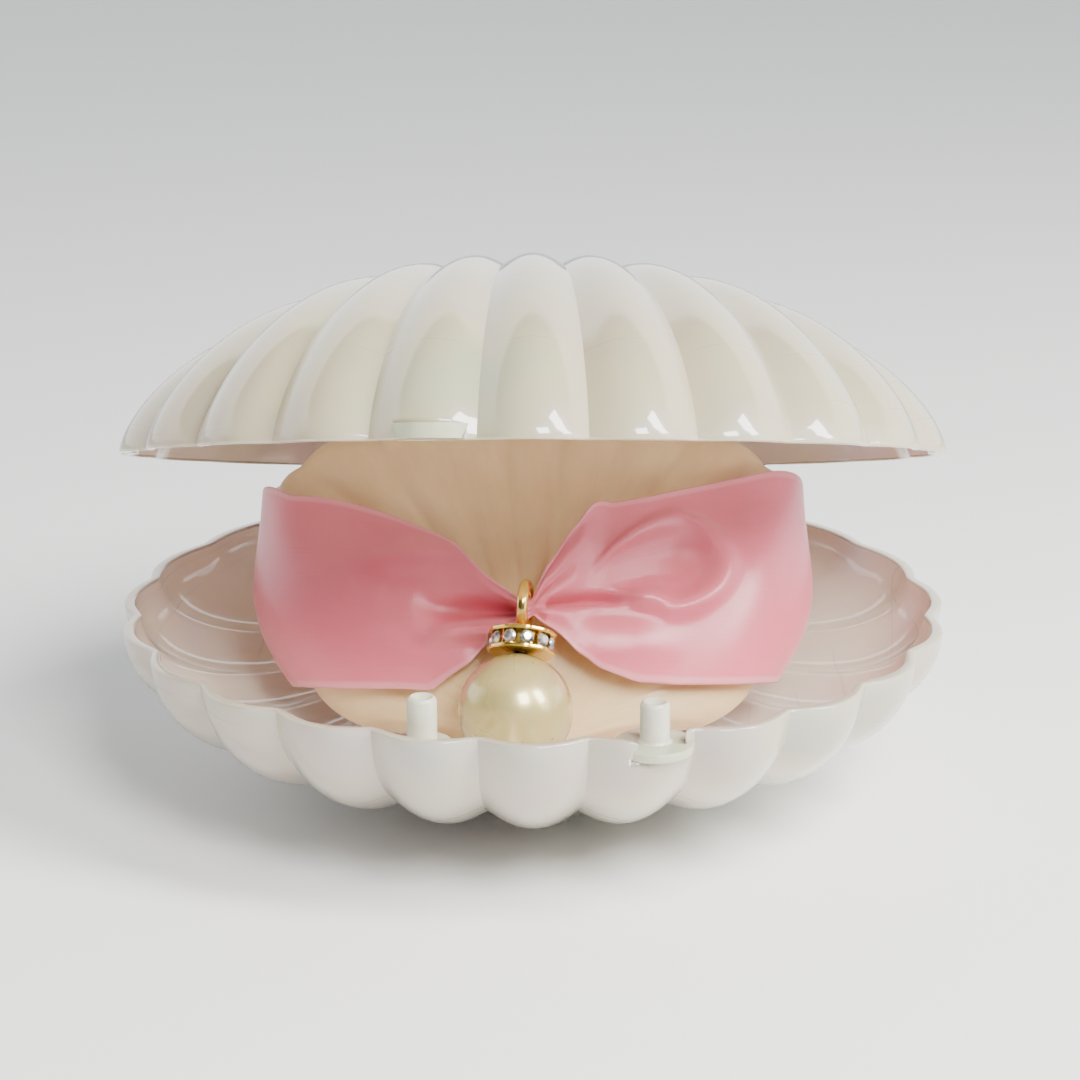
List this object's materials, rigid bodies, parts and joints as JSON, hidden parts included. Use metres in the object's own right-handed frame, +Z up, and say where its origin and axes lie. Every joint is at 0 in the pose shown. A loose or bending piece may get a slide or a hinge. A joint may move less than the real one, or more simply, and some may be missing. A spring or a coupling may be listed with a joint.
{
  "type": "bubbling ornament",
  "caption": "Hinged scallop-shell aquarium ornament: fluted lid and bowl with locating pegs, a ribboned fluted insert, a swinging pearl pendant and an air inlet with an air stone.",
  "frame": {"origin": "centre of the base pad's underside, on the surface that the ornament stands on", "axes": "+X to the object's right as seen from its open front, +Y towards the hinge, +Z up"},
  "size_m": [0.089, 0.0977, 0.0593],
  "materials": {
    "pearl_plastic": "pearlescent gloss",
    "clear_plastic": "clear, faintly green",
    "cream_plastic": "soft pearlescent cream",
    "gold_plate": "polished gold plate",
    "steel": "brushed",
    "glass_stone": "faceted",
    "pearl": "high-gloss pearl",
    "satin": "satin weave",
    "rubber": "matt",
    "air_stone": "porous"
  },
  "bodies": {
    "bowl": {"lower_valve": "pearl_plastic", "base_pad": "rubber", "ballast_plate": "steel", "peg_left": "clear_plastic", "peg_right": "clear_plastic", "lower_hinge_bracket": "pearl_plastic", "hinge_pin": "steel", "hinge_pin_cap": "steel", "insert_shell": "cream_plastic", "insert_back_plate": "cream_plastic", "insert_foot": "cream_plastic", "ribbon_band": "satin", "air_inlet_barb": "clear_plastic", "inlet_grommet": "rubber", "air_stone": "air_stone"},
    "lid": {"upper_valve": "pearl_plastic", "socket_left": "clear_plastic", "socket_right": "clear_plastic", "upper_hinge_bracket": "pearl_plastic"},
    "pendant": {"loop_pin": "gold_plate"},
    "rondelle": {"rondelle_setting": "gold_plate", "rondelle_stone_01": "glass_stone", "rondelle_stone_02": "glass_stone", "rondelle_stone_03": "glass_stone", "rondelle_stone_04": "glass_stone", "rondelle_stone_05": "glass_stone", "rondelle_stone_06": "glass_stone", "rondelle_stone_07": "glass_stone", "rondelle_stone_08": "glass_stone", "rondelle_stone_09": "glass_stone", "rondelle_stone_10": "glass_stone"},
    "pearl": {"pearl_bead": "pearl"}
  },
  "joints": [
    {"name": "lid_hinge", "type": "hinge", "parent": "bowl", "child": "lid", "pos_m": [0, 0.05, 0.0202], "axis": [-1, 0, 0], "range_deg": [-17.4, 72]},
    {"name": "pendant_swing", "type": "hinge", "parent": "bowl", "child": "pendant", "pos_m": [-0.0008, -0.01151, 0.0229], "axis": [-1, 0, 0], "range_deg": [0, 40]},
    {"name": "rondelle_spin", "type": "hinge", "parent": "pendant", "child": "rondelle", "pos_m": [-0.0008, -0.01151, 0.0229], "axis": [-0.0877, -0.5446, -0.8341], "continuous": true},
    {"name": "pearl_spin", "type": "hinge", "parent": "pendant", "child": "pearl", "pos_m": [-0.0008, -0.01151, 0.0229], "axis": [-0.0877, -0.5446, -0.8341], "continuous": true}
  ]
}
